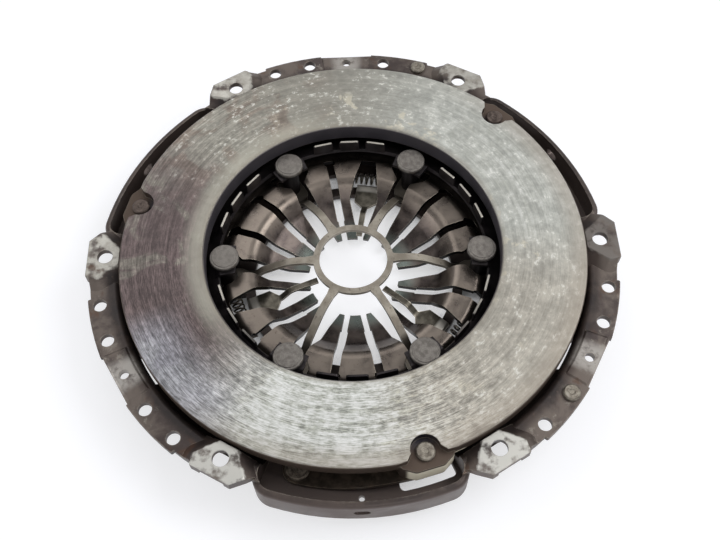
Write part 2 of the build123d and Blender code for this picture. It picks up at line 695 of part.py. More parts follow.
# ---- Studs: turned, headed over the sensor spring, riveted at the back -----
with BuildPart() as stud:
    with BuildSketch(Plane.XZ):
        with BuildLine():
            Polyline(
                (0, stud_top_z), (stud_head_r - 1.4, stud_top_z), (stud_head_r - 1.4, stud_top_z - 0.3),
                (stud_head_r - 0.4, stud_top_z - 0.3), (stud_head_r, stud_top_z - 0.8),
                (stud_head_r, stud_head_z), (stud_shank_r, stud_head_z), (stud_shank_r, foot_top_z),
                (stud_tenon_r, foot_top_z), (stud_tenon_r, floor_z - sheet), (closing_head_r, floor_z - sheet),
                (closing_head_r - 0.6, floor_z - sheet - rivet_head_t + 0.8),
                (closing_head_r - 2, floor_z - sheet - rivet_head_t), (0, floor_z - sheet - rivet_head_t),
                close=True,
            )
        make_face()
    revolve(axis=Axis.Z)
for k in range(bolt_count):
    place(stud.part, Location(at(stud_r, k * pad_pitch)), f"stud_{k + 1}")

# ---- Leaf springs: three packs of three strips from cover to lug -----------
half_reach = lug_r * sin(radians(leaf_span / 2))
for k, sector in enumerate(sector_angles, 1):
    for layer in range(leaf_count):
        cover_top_z = leaf_cover_z - layer * leaf_step
        lug_end_z = plate_back_z - layer * leaf_step
        rise_start = half_reach - leaf_half_w - 1
        out = radians(sector)
        side_plane = Plane(origin=(0, 0, 0), x_dir=(-sin(out), cos(out), 0), z_dir=(cos(out), sin(out), 0))
        with BuildPart() as leaf:
            with BuildSketch(side_plane.offset(lug_r - 3 * leaf_half_w)):
                add(strip(
                    [
                        (-half_reach - 2 * leaf_half_w, cover_top_z), (-rise_start, cover_top_z),
                        (rise_start, lug_end_z), (half_reach + 2 * leaf_half_w, lug_end_z),
                    ],
                    40.0, leaf_t,
                ))
            extrude(amount=5 * leaf_half_w)
            with BuildSketch(Plane.XY.rotated((0, 0, sector))):
                add(ring_sector(lug_r - leaf_half_w, lug_r + leaf_half_w, leaf_span / 2))
                for end in (-leaf_span / 2, leaf_span / 2):
                    with Locations(at(lug_r, end)):
                        Circle(leaf_half_w)
                for end in (-leaf_span / 2, leaf_span / 2):
                    with Locations(at(lug_r, end)):
                        Circle(rivet_shank_r + 2 * hole_fit, mode=Mode.SUBTRACT)
            extrude(amount=floor_z, mode=Mode.INTERSECT)
        finish(leaf, f"leaf_spring_{k}_{layer + 1}")

# ---- Rivets ----------------------------------------------------------------
def rivet(top_r, top_z, seat_z, back_z, back_r):
    """Solid rivet about Z: flat set head above seat_z, closing head below back_z."""
    with BuildPart() as blank:
        with BuildSketch(Plane.XZ):
            with BuildLine():
                Polyline(
                    (0, top_z - 0.4), (1.2, top_z - 0.4), (1.7, top_z), (top_r - 0.7, top_z), (top_r, top_z - 0.7),
                    (top_r, seat_z), (rivet_shank_r, seat_z), (rivet_shank_r, back_z), (back_r, back_z),
                    (back_r - 0.5, back_z - rivet_head_t + 0.6), (back_r - 1.6, back_z - rivet_head_t),
                    (0, back_z - rivet_head_t), close=True,
                )
            make_face()
        revolve(axis=Axis.Z)
    return blank.part


lug_rivet = rivet(
    lug_rivet_head_r, lug_top_z + rivet_head_t, lug_top_z, plate_back_z - leaf_stack, closing_head_r
)
cover_rivet = rivet(
    cover_rivet_head_r, leaf_cover_z + rivet_head_t, leaf_cover_z, trough_floor_z - sheet, cover_closing_head_r
)
balance_rivet = rivet(
    balance_head_r, -pad_rise + rivet_head_t, -pad_rise, -pad_rise - sheet, balance_head_r
)
for k, angle in enumerate(lug_angles, 1):
    place(lug_rivet, Location(at(lug_r, angle)), f"lug_rivet_{k}")
for k, angle in enumerate(cover_rivet_angles, 1):
    place(cover_rivet, Location(at(lug_r, angle)), f"cover_rivet_{k}")
# Two of the balance holes hold a rivet, where the balancing machine asked for it.
for k, angle in enumerate((ear_angles[0] + balance_hole_angles[0], ear_angles[2] + balance_hole_angles[1]), 1):
    place(balance_rivet, Location(at(balance_hole_r, angle)), f"balance_rivet_{k}")

# ---- Stop tongues: U-bent spring strips on the cover's inner rim -----------
for k, angle in enumerate(coil_angles, 1):
    with BuildPart() as tongue:
        with BuildSketch(radial_plane(angle)):
            add(strip(
                [
                    (cover_bore_r + tongue_clip_gap, floor_z), (coil_window_inner_r - tongue_clip_gap, floor_z),
                    (coil_window_inner_r - tongue_clip_gap, tongue_root_z), (tongue_neck_r, tongue_root_z + 1),
                    (finger_flat_r + 1.5, tongue_tip_z - 0.3), (tongue_tip_r, tongue_tip_z),
                ],
                [1.7, 1.7, 5.0, 5.0], tongue_t, Side.LEFT,
            ))
        extrude(amount=tongue_root_w / 2, both=True)
        with BuildSketch(Plane.XY.rotated((0, 0, angle))):
            with BuildLine():
                FilletPolyline(
                    (tongue_tip_r - 0.5, -tongue_w / 2), (tongue_neck_r, -tongue_w / 2),
                    (tongue_neck_r + 4, -tongue_root_w / 2), (coil_window_inner_r, -tongue_root_w / 2),
                    (coil_window_inner_r, tongue_root_w / 2), (tongue_neck_r + 4, tongue_root_w / 2),
                    (tongue_neck_r, tongue_w / 2), (tongue_tip_r - 0.5, tongue_w / 2), radius=0.6, close=True,
                )
            make_face()
        extrude(amount=floor_z - 1, mode=Mode.INTERSECT)
    finish(tongue, f"stop_tongue_{k}")
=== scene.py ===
import math

import bpy
import numpy as np
from mathutils import Matrix, Vector


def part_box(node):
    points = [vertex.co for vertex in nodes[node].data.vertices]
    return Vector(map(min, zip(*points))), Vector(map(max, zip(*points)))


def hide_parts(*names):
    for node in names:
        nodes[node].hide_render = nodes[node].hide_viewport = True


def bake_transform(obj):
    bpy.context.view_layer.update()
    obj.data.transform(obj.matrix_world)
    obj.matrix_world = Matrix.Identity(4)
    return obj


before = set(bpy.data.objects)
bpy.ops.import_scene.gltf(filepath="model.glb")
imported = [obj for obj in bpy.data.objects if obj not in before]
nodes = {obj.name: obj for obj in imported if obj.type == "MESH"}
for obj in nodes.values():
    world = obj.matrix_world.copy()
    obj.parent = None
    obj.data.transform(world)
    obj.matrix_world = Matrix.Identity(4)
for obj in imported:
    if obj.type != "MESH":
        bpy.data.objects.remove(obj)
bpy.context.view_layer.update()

# --- Cover -------------------------------------------------------------------
# A bowl deep-drawn from 3.2 mm steel sheet, with six raised bolting pads. It is zinc
# phosphated and oiled, which gives a dark brown-grey satin coat with a breath of rust.
# The pads were clamped to the flywheel, so there the coat is rubbed down to pale steel.


def linear(code):
    """An sRGB hex colour as linear light: each channel goes through the sRGB curve."""
    shares = [int(code[i:i + 2], 16) / 255 for i in (1, 3, 5)]
    return tuple(s / 12.92 if s <= 0.04045 else ((s + 0.055) / 1.055) ** 2.4 for s in shares) + (1.0,)


def add(tree, kind, inputs=None, **settings):
    """Adds one node with its settings. An input that is another node's socket is linked, and
    any other is set."""
    made = tree.nodes.new("ShaderNode" + kind)
    for name, value in settings.items():
        setattr(made, name, value)
    for socket, value in (inputs or {}).items():
        if isinstance(value, bpy.types.NodeSocket):
            tree.links.new(value, made.inputs[socket])
        else:
            made.inputs[socket].default_value = value
    return made


def metal(name, roughness, metallic=1.0, **constants):
    """A new material with a Principled shader. Returns the material, its tree, the shader and
    Object coordinates."""
    made = bpy.data.materials.new(name)
    made.use_nodes = True
    tree = made.node_tree
    shader = tree.nodes["Principled BSDF"]
    shader.inputs["Metallic"].default_value = metallic
    shader.inputs["Roughness"].default_value = roughness
    for socket, value in constants.items():
        shader.inputs[socket.replace("_", " ")].default_value = value
    place = add(tree, "TexCoord").outputs["Object"]
    return made, tree, shader, place


def grain(tree, place, size_mm, detail=4.0, roughness=0.6, distortion=0.0):
    """Cloudy noise whose blotches are about size_mm across."""
    return add(
        tree, "TexNoise",
        {
            "Vector": place, "Scale": 1000 / size_mm, "Detail": detail, "Roughness": roughness,
            "Distortion": distortion,
        },
    ).outputs["Fac"]


def between(tree, value, low, high, bottom=0.0, top=1.0):
    """A soft step: bottom below low, top above high and a smooth slope between."""
    return add(
        tree, "MapRange",
        {"Value": value, "From Min": low, "From Max": high, "To Min": bottom, "To Max": top},
        interpolation_type="SMOOTHSTEP",
    ).outputs["Result"]


def combine(tree, a, b, operation):
    """One arithmetic step on two numbers or sockets."""
    return add(tree, "Math", {0: a, 1: b}, operation=operation).outputs[0]


def product(tree, a, b):
    """Two numbers or sockets multiplied. Of two masks, it is high only where both are."""
    return combine(tree, a, b, "MULTIPLY")


def blend_colours(tree, share, first, second, mode="MIX"):
    """The first colour where share is 0 and the second where it is 1. A colour is a hex code or a socket."""
    pair = [linear(c) if isinstance(c, str) else c for c in (first, second)]
    return add(
        tree, "Mix", {0: share, 6: pair[0], 7: pair[1]}, data_type="RGBA", blend_type=mode,
    ).outputs[2]


def flat_place(tree, place):
    """The place with its height taken out."""
    return add(tree, "VectorMath", {0: place, 1: (1, 1, 0)}, operation="MULTIPLY").outputs["Vector"]


def height_and_radius(tree, place):
    """Height along the clutch axis and distance from it, in millimetres."""
    metres = add(tree, "SeparateXYZ", {0: place}).outputs["Z"]
    away = add(tree, "VectorMath", {0: flat_place(tree, place)}, operation="LENGTH").outputs["Value"]
    return product(tree, metres, 1000.0), product(tree, away, 1000.0)


def facing(tree, place, degrees, wide, narrow):
    """1 within narrow degrees of a direction seen from the clutch axis, and 0 beyond wide degrees of it."""
    a = math.radians(degrees)
    towards = add(tree, "VectorMath", {0: flat_place(tree, place)}, operation="NORMALIZE").outputs["Vector"]
    dot = add(
        tree, "VectorMath", {0: towards, 1: (math.cos(a), math.sin(a), 0)}, operation="DOT_PRODUCT",
    ).outputs["Value"]
    return between(tree, dot, math.cos(math.radians(wide)), math.cos(math.radians(narrow)))


def worn_edges(tree, width_mm, sharp=0.02):
    """1 on edges and corners, 0 on open surfaces: how far a normal rounded over width_mm leans
    from the true one."""
    rounded = add(tree, "Bevel", {"Radius": width_mm / 1000}, samples=6).outputs["Normal"]
    true = add(tree, "NewGeometry").outputs["Normal"]
    agree = add(tree, "VectorMath", {0: rounded, 1: true}, operation="DOT_PRODUCT").outputs["Value"]
    return between(tree, combine(tree, 1.0, agree, "SUBTRACT"), sharp, 6 * sharp)


def bump(tree, shader, height, depth_mm, round_mm=0.0):
    """Small relief of depth_mm over a surface whose edges are rounded by round_mm."""
    inputs = {"Height": height, "Distance": depth_mm / 1000, "Strength": 1.0}
    if round_mm:
        inputs["Normal"] = add(tree, "Bevel", {"Radius": round_mm / 1000}, samples=4).outputs["Normal"]
    tree.links.new(add(tree, "Bump", inputs).outputs["Normal"], shader.inputs["Normal"])


def dress(names, material):
    """Gives CAD nodes their material."""
    for name in names:
        nodes[name].data.materials.clear()
        nodes[name].data.materials.append(material)


pad_top, flange_top = 0.0, -4.5
ear_angles = (90, 210, 330)
wall_top_r, flange_start_r = 127.5, 132.5
trough_inner_r, trough_outer_r = 122, 138.0
coat, tree, shader, place = metal("phosphated_pressing_steel", 0.55, 0.45)
height, radius = height_and_radius(tree, place)
clouds = grain(tree, place, 20, 6, 0.62, 0.4)
specks = grain(tree, place, 2.2, 5, 0.7)
scuffs = grain(tree, place, 7, 6, 0.7)
tone = blend_colours(tree, between(tree, clouds, 0.36, 0.66), "#2E2827", "#4A3F3A")
tone = blend_colours(tree, between(tree, specks, 0.58, 0.74, 0.0, 0.7), tone, "#5E4E45")
# The open rim of the flange was handled and wiped, so it is lighter than the wall and the bend.
on_flange = product(
    tree, between(tree, height, flange_top - 2.6, flange_top - 0.6),
    between(tree, radius, wall_top_r, flange_start_r),
)
rim = blend_colours(tree, between(tree, clouds, 0.38, 0.60), "#453B38", "#6B615A")
rim = blend_colours(tree, between(tree, scuffs, 0.56, 0.66, 0.0, 0.75), rim, "#8D867C")
rust = between(tree, grain(tree, place, 12, 5, 0.6, 0.5), 0.57, 0.68, 0.0, 0.7)
rim = blend_colours(tree, rust, rim, "#5A4234")
tone = blend_colours(tree, on_flange, tone, rim)
for angle in ear_angles:
    worn_spot = product(tree, facing(tree, place, angle, 4.5, 1.2), between(tree, scuffs, 0.3, 0.55))
    worn_spot = product(tree, worn_spot, between(tree, radius, 123, 129))
    tone = blend_colours(tree, worn_spot, tone, "#A29D97")
# Painted light: the insides of the troughs are lightened, standing in for light that reaches into them.
painted_trough_light = product(
    tree, between(tree, height, flange_top - 1.0, flange_top - 4.0),
    between(tree, radius, trough_inner_r, trough_inner_r + 3),
)
painted_trough_light = product(tree, painted_trough_light, between(tree, radius, trough_outer_r + 1.0, trough_outer_r))
tone = blend_colours(tree, product(tree, painted_trough_light, 0.8), tone, "#665A55")
rub = product(tree, worn_edges(tree, 1.1), between(tree, grain(tree, place, 3, 4), 0.4, 0.62, 0.1, 0.85))
rub = product(tree, rub, between(tree, height, flange_top - 3.0, flange_top - 1.0, 0.35, 1.0))
tone = blend_colours(tree, rub, tone, "#958C80")
# Bare steel on the pads: everything near their plane, frayed by the noise where the pad rolls off.
fray = product(tree, between(tree, grain(tree, place, 7, 4, 0.55), 0.3, 0.7), 1.5)
bare = between(tree, combine(tree, height, fray, "ADD"), pad_top - 0.1, pad_top + 0.9)
steel = blend_colours(tree, between(tree, grain(tree, place, 5, 6, 0.7), 0.36, 0.64), "#B9B6AE", "#9F9A91")
steel = blend_colours(tree, facing(tree, place, 270, 75, 50), steel, "#C9C7C0")
steel = blend_colours(tree, facing(tree, place, 0, 20, 8), steel, "#6F6964")
steel = blend_colours(tree, between(tree, specks, 0.64, 0.74, 0.0, 0.3), steel, "#7B736A")
tone = blend_colours(tree, bare, tone, steel)
tree.links.new(tone, shader.inputs["Base Color"])
tree.links.new(between(tree, clouds, 0.3, 0.7, 0.34, 0.52), shader.inputs["Roughness"])
bump(tree, shader, specks, 0.06, 0.5)
dress(["cover"], coat)

# --- Pressure plate ----------------------------------------------------------
# Grey cast iron ring. The friction face was turned and ground, then the disc lining ran
# on it: run marks go round in circles, with glazed violet-brown and greenish patches.
# The bore, the lugs and the back keep the rough, dark skin of the casting.


def run_marks(tree, place, across_mm, along_mm, detail=3.0, roughness=0.55):
    """Noise drawn out round the clutch axis. Its coordinates are the unit vector towards the point times
    the circle's length over along_mm, and the radius over across_mm, so it closes on itself."""
    flat = flat_place(tree, place)
    away = add(tree, "VectorMath", {0: flat}, operation="LENGTH").outputs["Value"]
    towards = add(tree, "VectorMath", {0: flat}, operation="NORMALIZE").outputs["Vector"]
    around = add(
        tree, "VectorMath", {0: towards, "Scale": 100 / along_mm}, operation="SCALE",
    ).outputs["Vector"]
    outwards = add(tree, "CombineXYZ", {"Z": product(tree, away, 1000 / across_mm)}).outputs[0]
    mixed = add(tree, "VectorMath", {0: around, 1: outwards}, operation="ADD").outputs["Vector"]
    return add(
        tree, "TexNoise", {"Vector": mixed, "Scale": 1.0, "Detail": detail, "Roughness": roughness},
    ).outputs["Fac"]


face_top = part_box("pressure_plate")[1][2] * 1000
# Directions from the axis, in degrees, of zones on the face: the glazed, scored and dusty ones that the wear
# left, a painted highlight and the machined lug.
glazed_side, painted_highlight_side, scored_side, dusty_side, machined_lug = 190, 219, 238, 30, 287
bore_r, rim_r = 79.0, 121.0
iron, tree, shader, place = metal("ground_grey_cast_iron", 0.45, 0.7, Anisotropic=0.35)
height, radius = height_and_radius(tree, place)
broad = run_marks(tree, place, 2.6, 70, 4, 0.6)
fine = run_marks(tree, place, 0.5, 4.5, 5, 0.7)
scores = run_marks(tree, place, 0.8, 30, 4, 0.6)
patches = grain(tree, place, 8, 6, 0.7)
spots = run_marks(tree, place, 2.0, 3.6, 6, 0.68)


def mottled(tree, ground, noise, low, high, share):
    """The ground made darker where the noise is low and lighter where it is high, in step with
    its own tone."""
    grey = between(tree, noise, low, high, 0.16, 0.84)
    return add(
        tree, "Mix", {0: share, 6: ground, 7: grey}, data_type="RGBA", blend_type="OVERLAY",
    ).outputs[2]


# Painted light: the face is lighter round 262 degrees, on the near side, standing in for the sheen it shows
# there.
ground = blend_colours(tree, facing(tree, place, 262, 72, 18), "#BDBEB7", "#C9CAC4")
ground = blend_colours(tree, facing(tree, place, 318, 50, 15), ground, "#B7B2A7")
ground = blend_colours(tree, facing(tree, place, 128, 75, 20), ground, "#8E8B82")
tints = grain(tree, place, 22, 4, 0.6, 0.8)
browned = product(tree, between(tree, tints, 0.46, 0.60, 0.0, 0.7), facing(tree, place, 150, 62, 30))
ground = blend_colours(tree, browned, ground, "#77695F")
ground = blend_colours(tree, facing(tree, place, glazed_side, 55, 18), ground, "#625655")
greenish = product(
    tree, between(tree, tints, 0.50, 0.38, 0.0, 0.7), facing(tree, place, glazed_side, 60, 20),
)
ground = blend_colours(tree, greenish, ground, "#7F7B72")
# Painted highlight: a bluish silver band low on the left, standing in for the sheen of the lamps on the run
# marks.
painted_highlight = product(tree, facing(tree, place, painted_highlight_side, 22, 4), between(tree, radius, 90, 114, 0.0, 0.6))
ground = blend_colours(tree, painted_highlight, ground, "#A9ABB4")
# Soft rings, blotches and spots, then fine scores that are strongest low on the left.
calm = facing(tree, place, 25, 110, 60)
ground = mottled(tree, ground, broad, 0.34, 0.66, between(tree, calm, 0, 1, 0.3, 0.1))
ground = mottled(tree, ground, patches, 0.36, 0.64, between(tree, calm, 0, 1, 0.36, 0.2))
ground = mottled(tree, ground, spots, 0.32, 0.68, between(tree, calm, 0, 1, 0.26, 0.12))
scored = facing(tree, place, scored_side, 95, 30)
ground = mottled(tree, ground, fine, 0.36, 0.64, between(tree, scored, 0, 1, 0.06, 0.6))
ground = mottled(tree, ground, scores, 0.34, 0.66, between(tree, calm, 0, 1, 0.26, 0.1))
dusty = product(tree, between(tree, spots, 0.55, 0.61), between(tree, patches, 0.49, 0.56))
dusty = product(tree, dusty, facing(tree, place, dusty_side, 150, 90))
blotches = product(tree, between(tree, tints, 0.57, 0.60), between(tree, radius, 106, 98))
blotches = product(tree, blotches, between(tree, patches, 0.42, 0.54, 0.0, 0.6))
ground = blend_colours(tree, product(tree, blotches, calm), ground, "#D3CCB8")
ground = blend_colours(tree, product(tree, dusty, 0.75), ground, "#E2E1DA")
# Painted sheen: a lighter band beside the bore, on the left.
painted_sheen_near_bore = product(
    tree, between(tree, radius, bore_r + 13.0, bore_r + 3.0, 0.0, 0.7), facing(tree, place, 160, 75, 35),
)
ground = blend_colours(tree, painted_sheen_near_bore, ground, "#A5A296")
ground = blend_colours(tree, between(tree, radius, bore_r + 3.0, bore_r, 0.0, 0.5), ground, "#938C80")
worn_rim = product(
    tree, between(tree, radius, rim_r - 13.0, rim_r, 0.0, 0.55), facing(tree, place, 325, 110, 60),
)
ground = blend_colours(tree, worn_rim, ground, "#A3988B")
skin = blend_colours(tree, between(tree, grain(tree, place, 6, 5, 0.65), 0.35, 0.65), "#35323A", "#514C4F")
# Painted light: the bore wall is lightened, standing in for light in its shade.
skin = blend_colours(tree, between(tree, radius, 84, 82), skin, "#625E64")
skin = blend_colours(tree, between(tree, radius, 112, 118), skin, "#5C4F46")
# The outer face of the third lug was machined to balance the plate, so it is bare; its near-white cream is
# partly that bare metal and partly a painted reflection of the light.
machined_and_glint = product(tree, facing(tree, place, machined_lug, 7.5, 6.5), between(tree, height, -1.4, -2.2))
machined_and_glint = product(tree, machined_and_glint, between(tree, radius, 117, 119))
skin = blend_colours(tree, machined_and_glint, skin, "#EFE6D0")
skin = blend_colours(tree, worn_edges(tree, 1.0), skin, "#736B61")
on_face = between(tree, height, face_top - 0.7, face_top - 0.25)
tree.links.new(blend_colours(tree, on_face, skin, ground), shader.inputs["Base Color"])
rough = combine(
    tree, between(tree, fine, 0.3, 0.7, 0.0, 0.14), between(tree, patches, 0.35, 0.7, 0.28, 0.42), "ADD",
)
rough = add(tree, "Mix", {0: on_face, 2: 0.62, 3: rough}).outputs[0]
tree.links.new(rough, shader.inputs["Roughness"])
# The cast skin is partly metallic, and the machined face with its painted reflection is left as a plain
# colour.
metallic = combine(tree, 0.7, product(tree, machined_and_glint, 0.7), "SUBTRACT")
tree.links.new(metallic, shader.inputs["Metallic"])
tree.links.new(add(tree, "Tangent", direction_type="RADIAL", axis="Z").outputs[0], shader.inputs["Tangent"])
cast_relief = product(tree, grain(tree, place, 1.2, 4), 3.0)
relief = add(tree, "Mix", {0: on_face, 2: cast_relief, 3: fine}).outputs[0]
bump(tree, shader, relief, 0.02, 0.4)
dress(["pressure_plate"], iron)

# --- Diaphragm spring --------------------------------------------------------
# One disc of chrome-vanadium spring steel, pressed, hardened and shot peened. It is a
# brown-grey satin with blue-green tempering tints where the tips were induction hardened,
# and a painted highlight along the crest of each finger.
tip_r, hardened_r = 28.0, 37.0
crest_start_r, crest_r, crest_end_r, arch_end_r = 47.0, 56.0, 62.0, 76.0
spring_steel, tree, shader, place = metal("peened_spring_steel", 0.36, 0.9)
radius = height_and_radius(tree, place)[1]
clouds = grain(tree, place, 11, 5, 0.6, 0.3)
tone = blend_colours(tree, between(tree, clouds, 0.36, 0.64), "#433C3A", "#655C57")
# Painted highlight: a lighter band along the crest of each finger.
painted_crest_highlight = product(
    tree, between(tree, radius, crest_start_r, crest_r),
    between(tree, radius, arch_end_r, crest_end_r, 0.35, 1.0),
)
painted_crest_highlight = product(tree, painted_crest_highlight, between(tree, clouds, 0.3, 0.6, 0.4, 0.8))
tone = blend_colours(tree, painted_crest_highlight, tone, "#887E74")
tone = blend_colours(tree, between(tree, radius, hardened_r, tip_r, 0.0, 0.65), tone, "#747F79")
streaks = grain(tree, place, 2.5, 5, 0.7)
tone = blend_colours(tree, between(tree, streaks, 0.58, 0.70, 0.0, 0.5), tone, "#47372F")
# Painted shade: the disc is darkened beyond the finger roots, where the plate and the sensor spring shade it.
tone = blend_colours(tree, between(tree, radius, 74.0, 80.0, 0.0, 0.85), tone, "#2B2625")
tone = blend_colours(tree, worn_edges(tree, 0.6), tone, "#A39A8D")
# The sheared walls of the slots were never peened; they are painted nearly black as the shade between the
# fingers.
true = add(tree, "NewGeometry").outputs["Normal"]
upright = add(tree, "SeparateXYZ", {0: true}).outputs["Z"]
tone = blend_colours(tree, between(tree, upright, 0.30, 0.12), tone, "#1D1A1A")
tree.links.new(tone, shader.inputs["Base Color"])
tree.links.new(between(tree, clouds, 0.3, 0.7, 0.25, 0.38), shader.inputs["Roughness"])
bump(tree, shader, grain(tree, place, 0.7, 3), 0.02, 0.4)
dress(["diaphragm_spring"], spring_steel)

# --- Sensor spring -----------------------------------------------------------
# A hardened cone with upright tabs, painted dark as the shade of the plate's bore, and with a
# painted highlight only along the tops of the tabs on the far side.
sensor_steel, tree, shader, place = metal("sensor_spring_steel_painted_shade", 0.42, 0.7)
height = height_and_radius(tree, place)[0]
tone = blend_colours(tree, between(tree, grain(tree, place, 8, 5), 0.35, 0.65), "#252223", "#3B3637")
tab_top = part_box("sensor_spring")[1][2] * 1000
# Painted highlight along the tops of the tabs, on the far side only.
painted_tab_highlight = product(
    tree, between(tree, height, tab_top - 0.3, tab_top - 0.1), facing(tree, place, 90, 150, 100),
)
tone = blend_colours(tree, painted_tab_highlight, tone, "#BDB8AE")
tree.links.new(tone, shader.inputs["Base Color"])
bump(tree, shader, grain(tree, place, 1.0, 3), 0.03, 0.3)
dress(["sensor_spring"], sensor_steel)

# --- Adjuster ring -----------------------------------------------------------
# Pressed steel ring with twelve ramps underneath and an arm for each coil spring. It
# turns on the ramps of the cover's floor and takes up the wear of the disc.
ring_steel, tree, shader, place = metal("pressed_ring_steel", 0.42, 0.8)
tone = blend_colours(tree, between(tree, grain(tree, place, 7, 5), 0.35, 0.65), "#4B443C", "#6D6458")
tone = blend_colours(tree, worn_edges(tree, 0.6), tone, "#9B9284")
tree.links.new(tone, shader.inputs["Base Color"])
bump(tree, shader, grain(tree, place, 1.0, 3), 0.02, 0.3)
dress(["adjuster_ring"], ring_steel)

# --- Coil springs ------------------------------------------------------------
# Three compression springs, cold coiled from 1.1 mm music wire. Each leans on a stop of
# the cover and pushes an arm of the adjuster ring, so it grows longer as the ring turns.
wire, tree, shader, place = metal("music_wire", 0.3, 1.0)
tone = blend_colours(tree, between(tree, grain(tree, place, 1.5, 4), 0.4, 0.62), "#4A453F", "#8E877B")
tree.links.new(tone, shader.inputs["Base Color"])


def shell(name, points, faces, material):
    """A mesh piece from an array of points and a list of faces, smooth across shallow angles."""
    mesh = bpy.data.meshes.new(name)
    mesh.from_pydata((points / 1000).tolist(), [], faces)
    mesh.polygons.foreach_set("use_smooth", np.ones(len(mesh.polygons), dtype=bool))
    mesh.set_sharp_from_angle(angle=math.radians(35))
    mesh.materials.append(material)
    piece = bpy.data.objects.new(name, mesh)
    bpy.context.scene.collection.objects.link(piece)
    return piece


def tube(centre, radius, around):
    """Points and faces of a round tube. On each point of the centre line stands a circle, radius times
    (cosine and sine of the angle round the line), in the plane square to the line. The ends are flat."""
    along = np.gradient(centre, axis=0)
    along /= np.linalg.norm(along, axis=1, keepdims=True)
    out = np.cross(along, (0.0, 0.0, 1.0))
    flat = np.linalg.norm(out, axis=1, keepdims=True)
    out = np.where(flat > 1e-3, out / np.maximum(flat, 1e-9), (1.0, 0.0, 0.0))
    up = np.cross(out, along)
    turn = np.linspace(0, 2 * np.pi, around, endpoint=False)[None, :, None]
    points = centre[:, None, :] + radius * (np.cos(turn) * out[:, None, :] + np.sin(turn) * up[:, None, :])
    row, column = np.meshgrid(np.arange(len(centre) - 1), np.arange(around), indexing="ij")
    here, there = row * around + column, row * around + (column + 1) % around
    sides = np.stack([here, there, there + around, here + around], axis=-1).reshape(-1, 4)
    last = (len(centre) - 1) * around
    caps = [list(range(around))[::-1], list(range(last, last + around))]
    return points.reshape(-1, 3), sides.tolist() + caps


wire_d, coil_mean_r, coil_length, coil_turns = 1.1, 2.95, 25.2, 8
coil_r, coil_z, coil_angles = 65.5, -28.4, (80, 200, 320)
steps_per_turn, sides_around = 30, 10
resting_end = 1.5  # length at each end that rests on what it leans on
for k, angle in enumerate(coil_angles, 1):
    a = math.radians(angle)
    outwards, tangent = np.array((math.cos(a), math.sin(a), 0.0)), np.array((-math.sin(a), math.cos(a), 0.0))
    middle_point = coil_r * outwards + np.array((0.0, 0.0, coil_z))
    share = np.linspace(0, 1, steps_per_turn * coil_turns + 1)[:, None]
    # A helix about the tangent: share of its length along it, and a circle across it.
    turn = 2 * np.pi * coil_turns * share
    centre = (
        middle_point + (share - 0.5) * (coil_length - wire_d) * tangent
        + coil_mean_r * (np.cos(turn) * outwards + np.sin(turn) * np.array((0.0, 0.0, 1.0)))
    )
    coil = shell(f"coil_wire_{k}", *tube(centre, wire_d / 2, sides_around), wire)
    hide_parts(f"coil_spring_{k}")
    reach = (coil_length / 2 - resting_end) * tangent
    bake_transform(coil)

# --- Release stop ring -------------------------------------------------------
# Stamped from 2 mm sheet with six arms that the studs clamp to the floor. Zinc phosphate
# over the satin steel makes it beige-grey, lighter where the bearing brushed it.
stamped, tree, shader, place = metal("stamped_stop_ring_steel", 0.45, 0.65)
radius = height_and_radius(tree, place)[1]
tone = blend_colours(tree, between(tree, grain(tree, place, 10, 5), 0.35, 0.65), "#827A6E", "#A0998D")
tone = blend_colours(tree, between(tree, grain(tree, place, 2, 4, 0.7), 0.58, 0.7, 0.0, 0.8), tone, "#5F574D")
tone = blend_colours(tree, between(tree, radius, 40.0, 52.0, 0.0, 0.6), tone, "#5E564D")
tone = blend_colours(tree, worn_edges(tree, 0.6), tone, "#B3ACA0")
tree.links.new(tone, shader.inputs["Base Color"])
bump(tree, shader, grain(tree, place, 0.9, 3), 0.02, 0.4)
dress(["release_stop_ring"], stamped)

# --- Studs -------------------------------------------------------------------
# Turned from steel bar and headed, so the tops show fine turning rings. Their thin ends
# are riveted over behind the cover's floor.


def turned(name, node, light, dark, ring_mm):
    """Turned steel with rings about the axis of one stud or rivet. The ring pattern is the sine
    of the distance from that axis over ring_mm. Below its head the steel is dark."""
    low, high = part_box(node)
    spot = [(a + b) / 2 for a, b in zip(low, high)]
    head_top = high[2] * 1000
    made, tree, shader, place = metal(name, 0.45, 0.7)
    centred = add(
        tree, "VectorMath", {0: place, 1: (spot[0], spot[1], 0)}, operation="SUBTRACT",
    ).outputs["Vector"]
    height, radius = height_and_radius(tree, centred)
    phase = product(tree, radius, math.tau / ring_mm)
    rings = add(tree, "Math", {0: phase}, operation="SINE").outputs[0]
    worn = grain(tree, place, 2.5, 5, 0.65)
    tone = blend_colours(tree, between(tree, worn, 0.35, 0.65), dark, light)
    tone = blend_colours(tree, between(tree, rings, -0.2, 0.9, 0.0, 0.25), tone, dark)
    tone = blend_colours(tree, worn_edges(tree, 0.5), tone, light)
    tone = blend_colours(tree, between(tree, height, head_top - 1.6, head_top - 2.6), tone, "#2B2727")
    tree.links.new(tone, shader.inputs["Base Color"])
    tree.links.new(between(tree, worn, 0.3, 0.7, 0.38, 0.55), shader.inputs["Roughness"])
    bump(tree, shader, rings, 0.01, 0.4)
    return made


for k in range(1, 7):
    dress([f"stud_{k}"], turned(f"turned_stud_steel_{k}", f"stud_{k}", "#8A857F", "#6A6560", 1.0))

